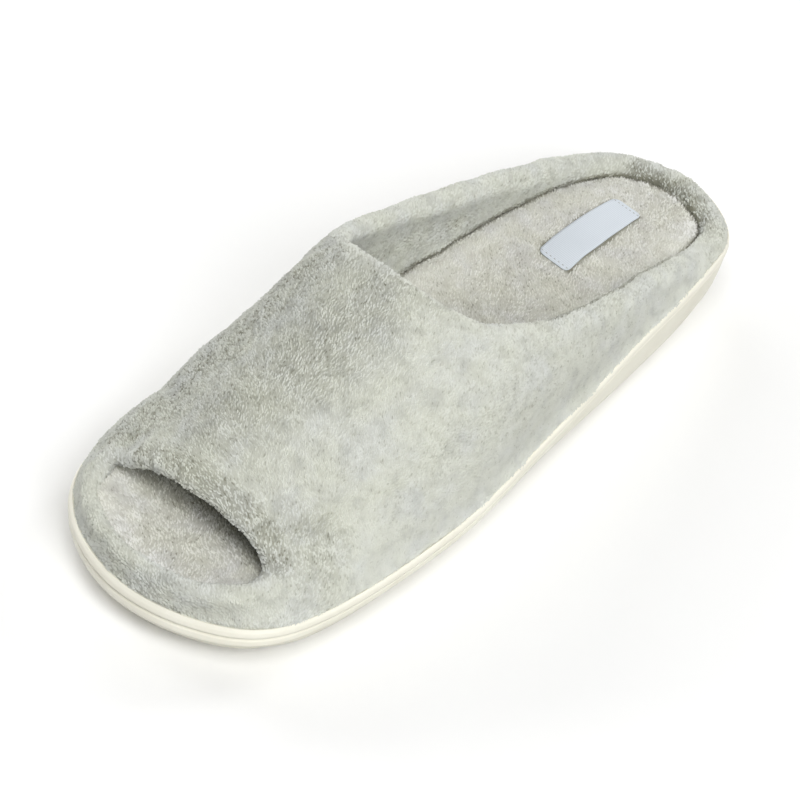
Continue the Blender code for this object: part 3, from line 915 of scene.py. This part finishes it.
def loop_mesh(name, spots, shade, seed):
    """Joined mesh of small arched loops along the nap, one on each spot, darker where the painted shade is
    high.
    """
    rng = np.random.default_rng(seed)
    parted = openness(spots.points)
    along = nap_directions(spots, rng, seed)
    round_edge = eased(spots.bend, *ROUND_BEND)
    length, width, bow = loop_spans(rng, parted, round_edge)
    clump = swirl(spots.points, CLUMP_SIZE, seed + 1)
    dark = rng.random(len(parted)) < DARK_SHARE * parted
    height = loop_heights(rng, parted, clump, dark)
    tone = loop_tones(rng, parted, clump, dark) - SEAM_TONE * shade
    sizes = Arch(length, width, height, bow, LOOP_SINK + ROUND_SINK * round_edge)
    mesh = arch_mesh(name, spots.points, along, spots.facing, sizes, loop_softness(spots, parted))
    keep_values(mesh, "tone", np.repeat(np.clip(tone, 0.0, 1.0), ARCH_POINTS))
    return linked(name, mesh)


def terry_piece(name, spots, shade, seed, material):
    piece = loop_mesh(name, spots, shade, seed)
    piece.data.materials.append(material)
    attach(piece, "root")


# Cloth and seams of upper and insole


def cloth(node, name, voxel, rounds):
    """A node's shape as an even fine mesh with its facets smoothed away."""
    piece = node_copy(node, name)
    even = piece.modifiers.new("even", "REMESH")
    even.mode = "VOXEL"
    even.voxel_size = voxel
    smooth = piece.modifiers.new("smooth", "SMOOTH")
    smooth.factor = SMOOTHING_FACTOR
    smooth.iterations = rounds
    return applied(piece)


def finish_cloth(piece, shade, material, node):
    """Stores what the pile needs on the cloth, gives it its material, ties it to the root and hides the
    node's part.
    """
    mesh = piece.data
    # The cloth's tone is painted shade: darker where the loops stand apart, in seams and along lines
    tone = BRIGHT_TONE - BASE_TONE * openness(points_of(mesh)) - SEAM_TONE * shade
    keep_values(mesh, "bend", evened(mesh, bend_of(mesh), BEND_ROUNDS))
    keep_values(mesh, "tone", np.clip(tone, 0.0, 1.0))
    mesh.materials.append(material)
    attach(piece, "root")
    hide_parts(node)


def seam_shade(points, neighbour):
    """How deep each point lies in the seam with a neighbouring surface, from 0 to 1, behind the toe, which
    sets the painted shade there.
    """
    behind = eased(points[:, 1], SEAM_FROM_Y, SEAM_TO_Y)
    gaps = gaps_to(neighbour, points, behind > 0)
    return behind * (1 - eased(np.minimum(gaps, SEAM_FAR), SEAM_DEEP, SEAM_WIDE))


def line_shade(points):
    """How deep each point lies in one of the lines of painted shade, from 0 to 1."""
    shade = np.zeros(len(points))
    # Each line here is a line of painted shade
    for sewn in LINES:
        away = distance_to_line(points, sewn.line) / MM
        first, *_, last = np.array(sewn.line) * MM
        ends = np.minimum(np.linalg.norm(points - first, axis=1), np.linalg.norm(points - last, axis=1))
        fade = sewn.tone * eased(ends, 0.0, LINE_FADE * MM)
        shade = np.maximum(shade, fade * (1 - eased(away, LINE_CORE * sewn.width, sewn.width)))
    return shade


# Upper


def fold_heights(points):
    """How far each point of the upper's outside is pushed out by the folds."""
    height = np.zeros(len(points))
    for fold in FOLDS:
        away = distance_to_line(points, fold.line)
        height += fold.depth * MM * np.exp(-(away / (fold.width * MM)) ** 2)
    return height


def tug_moves(points):
    """How far each point of the upper is drawn to one side."""
    moves = np.zeros_like(points)
    for tug in TUGS:
        away = np.linalg.norm(points - np.array(tug.spot) * MM, axis=1)
        moves += np.exp(-(away / (tug.reach * MM)) ** 2)[:, None] * np.array(tug.move) * MM
    return moves


def faces_out(points, facing):
    """Which points are on the outside of the upper, seen from the shoe's long axis."""
    axis = points.copy()
    axis[:, 0] = 0.0
    axis[:, 2] = SHOE_AXIS_Z
    return np.sum(facing * (points - axis), axis=1) > 0


def shape_upper(sole):
    """The upper's cloth with its folds, grown a little where it meets the sole."""
    upper = cloth("upper", "upper_cloth", UPPER_VOXEL, UPPER_SMOOTHING)
    points, facing = points_of(upper.data), normals_of(upper.data)
    outside = faces_out(points, facing)
    push = UPPER_GROWTH + CLOTH_WAVE * swirl(points, CLOTH_WAVE_SIZE, UPPER_WAVE_SEED)
    push += np.where(outside, fold_heights(points), 0.0)
    push += FOOT_GROWTH * np.clip(1 - gaps_to(surface(sole), points, outside) / FOOT_REACH, 0.0, 1.0)
    push = evened(upper.data, push, PUSH_ROUNDS)
    move_points(upper.data, points + facing * push[:, None] + tug_moves(points))
    return upper


def finish_upper(upper, insole, material):
    """Shades the upper and gives it its pile."""
    ground = surface(insole)
    points = points_of(upper.data)
    inside = ~faces_out(points, normals_of(upper.data))
    shade = np.maximum(np.where(inside, seam_shade(points, ground), 0.0), line_shade(points))
    finish_cloth(upper, shade, material, "upper")
    add_outer_pile(upper, material)
    add_lining_pile(upper, ground, material)


def add_outer_pile(upper, material):
    """Pile of the outside in three pieces: the vamp's two halves and the collar."""
    spots = scattered(upper, OUTER_SPACING, UPPER_SPOTS_SEED)
    outside = faces_out(spots.points, spots.facing)
    front = spots.points[:, 1] < VAMP_BACK_Y
    inner = spots.points[:, 0] < 0
    parts = (
        ("pile_vamp_inner", outside & front & inner, VAMP_INNER_SEED),
        ("pile_vamp_outer", outside & front & ~inner, VAMP_OUTER_SEED),
        ("pile_collar", outside & ~front, COLLAR_SEED),
    )
    for name, mask, seed in parts:
        part = chosen(spots, mask)
        terry_piece(name, part, line_shade(part.points), seed, material)


def add_lining_pile(upper, ground, material):
    spots = lining_spots(scattered(upper, INNER_SPACING, LINING_SPOTS_SEED))
    shade = np.maximum(seam_shade(spots.points, ground), line_shade(spots.points))
    terry_piece("pile_lining", spots, shade, LINING_SEED, material)


def lining_spots(spots):
    """The spots that carry the lining's pile: few where the vamp hides it, none under the wall."""
    inside = ~faces_out(spots.points, spots.facing)
    under = (spots.facing[:, 2] < LINING_FACING) & (spots.points[:, 2] < FOOT_TOP_Z)
    hidden = (spots.points[:, 1] > HIDDEN_FROM_Y) & (spots.points[:, 1] < HIDDEN_TO_Y)
    few = np.random.default_rng(HIDDEN_SEED).random(len(inside)) < HIDDEN_SHARE
    return chosen(spots, inside & ~under & (few | ~hidden))


# Insole


def toe_rise(points, facing, wall):
    """How far the insole's top is raised at the toe, most of all beside the lip and at the inner end."""
    back, height = points[:, 1], points[:, 2]
    beside = eased(back, HOLLOW_FROM_Y, HOLLOW_TO_Y)
    near = np.clip(1 - gaps_to(wall, points, beside > 0) / HOLLOW_REACH, 0.0, 1.0) ** 2
    inner = eased(points[:, 0], HOLLOW_OUTER_X, HOLLOW_INNER_X)
    rise = TOE_RISE * eased(back, TOE_RISE_FROM_Y, TOE_RISE_TO_Y) * eased(facing[:, 2], *TOE_RISE_FACING)
    level = TOE_LEVEL + TOE_RISE + mixed(HOLLOW_RISE_OUTER, HOLLOW_RISE_INNER, inner) * near
    lifted = np.maximum(level - height, 0.0) * eased(height, TOE_EDGE_FROM_Z, TOE_EDGE_TO_Z)
    return np.maximum(rise, lifted * beside)


def seam_drop(points, facing, wall):
    """How far the insole's edge is drawn down along its seam with the wall."""
    behind = eased(points[:, 1], SEAM_FROM_Y, SEAM_TO_Y) * eased(facing[:, 2], *SEAM_FACING)
    gaps = gaps_to(wall, points, behind > 0)
    return SEAM_DROP * behind * np.clip(1 - gaps / SEAM_DROP_REACH, 0.0, 1.0) ** 2


def toe_spread(points, wall):
    """Moves of the insole's toe edge that press it under the lip."""
    moves = np.zeros_like(points)
    share = eased(points[:, 1], HOLLOW_FROM_Y, HOLLOW_TO_Y)
    for number in np.flatnonzero(share > 0):
        place = Vector(points[number])
        nearest, _, _, gap = wall.find_nearest(place)
        reach = max(0.0, 1 - gap / INSOLE_TOE_REACH) ** 2
        level = Vector((nearest.x - place.x, nearest.y - place.y, 0.0)).normalized()
        moves[number] = level * (share[number] * reach * INSOLE_TOE_GROWTH)
    return moves


def shape_insole(upper):
    """The insole's pad, spread to the wall, raised at the toe and drawn down along its seam."""
    insole = cloth("insole", "insole_pad", INSOLE_VOXEL, INSOLE_SMOOTHING)
    points, facing = points_of(insole.data), normals_of(insole.data)
    outward = facing * (1 - eased(np.abs(facing[:, 2]), *EDGE_FACING))[:, None]
    wall = surface(upper)
    waves = CLOTH_WAVE * swirl(points, CLOTH_WAVE_SIZE, INSOLE_WAVE_SEED)
    moved = points + outward * INSOLE_EDGE_GROWTH + toe_spread(points, wall)
    moved[:, 2] += toe_rise(points, facing, wall) - seam_drop(points, facing, wall)
    moved[:, 2] += waves * eased(facing[:, 2], *WAVE_FACING)
    move_points(insole.data, moved)
    return insole


def finish_insole(insole, upper, material):
    """Paints shade into the insole's seam and along the label, and gives it its pile, which stops at the
    label.
    """
    wall = surface(upper)
    points = points_of(insole.data)
    shade = np.maximum(seam_shade(points, wall), label_line(points))
    finish_cloth(insole, shade, material, "insole")
    spots = scattered(insole, INSOLE_SPACING, INSOLE_SPOTS_SEED)
    beside, beyond = label_margins(spots.points)
    clear = np.maximum(beside - LABEL_CLEAR, beyond) > 0
    spots = chosen(spots, (spots.facing[:, 2] > INSOLE_FACING) & clear)
    terry_piece("pile_insole", spots, seam_shade(spots.points, wall), INSOLE_SEED, material)


# Label


def label_width(u):
    """Width of the label at a place along it, from -0.5 at the toe end to 0.5 at the heel end."""
    width = mixed(LABEL_TOE_WIDTH, LABEL_HEEL_WIDTH, u + 0.5) + LABEL_FULLNESS * arched(u)
    into_corner = np.maximum(LABEL_CORNER - (0.5 - np.abs(u)) * LABEL_LENGTH, 0.0)
    return width - 2 * (LABEL_CORNER - np.sqrt(np.maximum(LABEL_CORNER**2 - into_corner**2, 0.0)))


def label_margins(points):
    """How far each point lies outside the label's long sides and its ends, seen from above.

    Both are negative within the label.
    """
    turn = math.radians(LABEL_TURN_DEGREES)
    x, y = points[:, 0] - LABEL_CENTRE[0], points[:, 1] - LABEL_CENTRE[1]
    u = (y * math.cos(turn) - x * math.sin(turn)) / LABEL_LENGTH
    across = x * math.cos(turn) + y * math.sin(turn) - LABEL_BOW * arched(u)
    return np.abs(across) - label_width(u) / 2, (np.abs(u) - 0.5) * LABEL_LENGTH


def label_line(points):
    """Painted shade along the label's long sides, where the pile is parted."""
    beside, beyond = label_margins(points)
    return (1 - eased(np.abs(beside), LABEL_CLEAR, 2 * LABEL_CLEAR)) * (beyond < 0)


def label_point(u, v, ground):
    """Place on the label: u along it, v across it, each from -0.5 to 0.5, laid on the insole."""
    turn = math.radians(LABEL_TURN_DEGREES)
    across = v * label_width(u) + LABEL_BOW * arched(u)
    along = u * LABEL_LENGTH
    x = LABEL_CENTRE[0] + across * math.cos(turn) - along * math.sin(turn)
    y = LABEL_CENTRE[1] + across * math.sin(turn) + along * math.cos(turn)
    hit = ground.ray_cast(Vector((x, y, LABEL_DROP_FROM_Z)), Vector(DOWN))
    return Vector((x, y, hit[0].z + LABEL_LIFT))


def label_mesh(ground):
    """Grid of the label's shape, with closer rows at its rounded ends."""
    long_steps, wide_steps = LABEL_STEPS
    shape = bmesh.new()
    rows = []
    for i in range(long_steps + 1):
        u = -0.5 * math.cos(math.pi * i / long_steps)
        places = [label_point(u, j / wide_steps - 0.5, ground) for j in range(wide_steps + 1)]
        rows.append([shape.verts.new(place) for place in places])
    for near, far in zip(rows[:-1], rows[1:]):
        for j in range(wide_steps):
            shape.faces.new((near[j], near[j + 1], far[j + 1], far[j]))
    bmesh.ops.recalc_face_normals(shape, faces=shape.faces)
    mesh = bpy.data.meshes.new("label")
    shape.to_mesh(mesh)
    shape.free()
    return mesh


def add_label(insole, material):
    label = linked("label", label_mesh(surface(insole)))
    thick = label.modifiers.new("cloth", "SOLIDIFY")
    thick.thickness = LABEL_THICKNESS
    thick.offset = 0.0
    applied(label)
    label.data.materials.append(material)
    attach(label, "root")


def add_stitches(insole, material):
    """A short row of stitches across each end of the label."""
    ground = surface(insole)
    points, along = [], []
    for end in (-1, 1):
        u = end * (0.5 - STITCH_INSET / LABEL_LENGTH)
        for number in range(STITCHES):
            v = (number + 0.5) / STITCHES - 0.5
            points.append(label_point(u, v, ground))
            along.append(label_point(u, v + STITCH_AIM, ground) - points[-1])
    points, along = np.array(points), unit(np.array(along))
    points[:, 2] += LABEL_THICKNESS / 2
    facing = unit(np.cross(along, np.cross(UP, along)))
    sizes = Arch(STITCH_LENGTH, STITCH_WIDTH, STITCH_HEIGHT, 0.0, LABEL_THICKNESS / 2)
    mesh = arch_mesh("label_stitches", points, along, facing, sizes, facing)
    stitches = linked("label_stitches", mesh)
    mesh.materials.append(material)
    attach(stitches, "root")


# Sole


def join_faces(mesh):
    """Joins a mesh's triangles to larger faces and creases its sharp edges."""
    shape = bmesh.new()
    shape.from_mesh(mesh)
    bmesh.ops.remove_doubles(shape, verts=shape.verts, dist=SOLE_WELD)
    bmesh.ops.join_triangles(
        shape, faces=shape.faces, angle_face_threshold=SOLE_JOIN_ANGLE, angle_shape_threshold=SOLE_JOIN_SKEW)
    crease = shape.edges.layers.float.new("crease_edge")
    for edge in shape.edges:
        if edge.is_manifold and edge.calc_face_angle() > SOLE_CREASE_ANGLE:
            edge[crease] = SOLE_CREASE
    shape.to_mesh(mesh)
    shape.free()


def shade_sole(mesh):
    """Stores the sole's painted light, darker in its hollows and where it faces down and lighter on its
    bulges and where it faces up, and where it has its tread.
    """
    bend = evened(mesh, bend_of(mesh), SOLE_BEND_ROUNDS)
    upright = normals_of(mesh)[:, 2]
    level = SOLE_LEVEL + SOLE_UPWARD * eased(upright, *SOLE_UPWARD_FACING)
    level = level - SOLE_DOWNWARD * eased(-upright, *SOLE_DOWNWARD_FACING)
    keep_values(mesh, "groove", np.clip(level + bend / SOLE_BEND, 0.0, 1.0))
    keep_values(mesh, "tread", eased(-upright, *TREAD_FACING))


def add_sole(material):
    sole = node_copy("sole", "sole_unit")
    join_faces(sole.data)
    finer = sole.modifiers.new("finer", "SUBSURF")
    finer.levels = SOLE_LEVELS
    finer.render_levels = SOLE_LEVELS
    applied(sole)
    shade_sole(sole.data)
    sole.data.materials.append(material)
    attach(sole, "root")
    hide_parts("sole")
    return sole


def main():
    bpy.context.scene.view_settings.view_transform = "Standard"
    add_camera()
    add_world()
    for lamp in LAMPS:
        add_area_light(lamp)
    add_floor()
    upper_terry = terry_material("upper_terry", UPPER_SHADES, UPPER_COOL_TINT)
    insole_terry = terry_material("insole_terry", INSOLE_SHADES, INSOLE_COOL_TINT)
    sole = add_sole(rubber_material())
    upper = shape_upper(sole)
    insole = shape_insole(upper)
    finish_upper(upper, insole, upper_terry)
    finish_insole(insole, upper, insole_terry)
    add_label(insole, satin_material())
    add_stitches(insole, thread_material())


main()
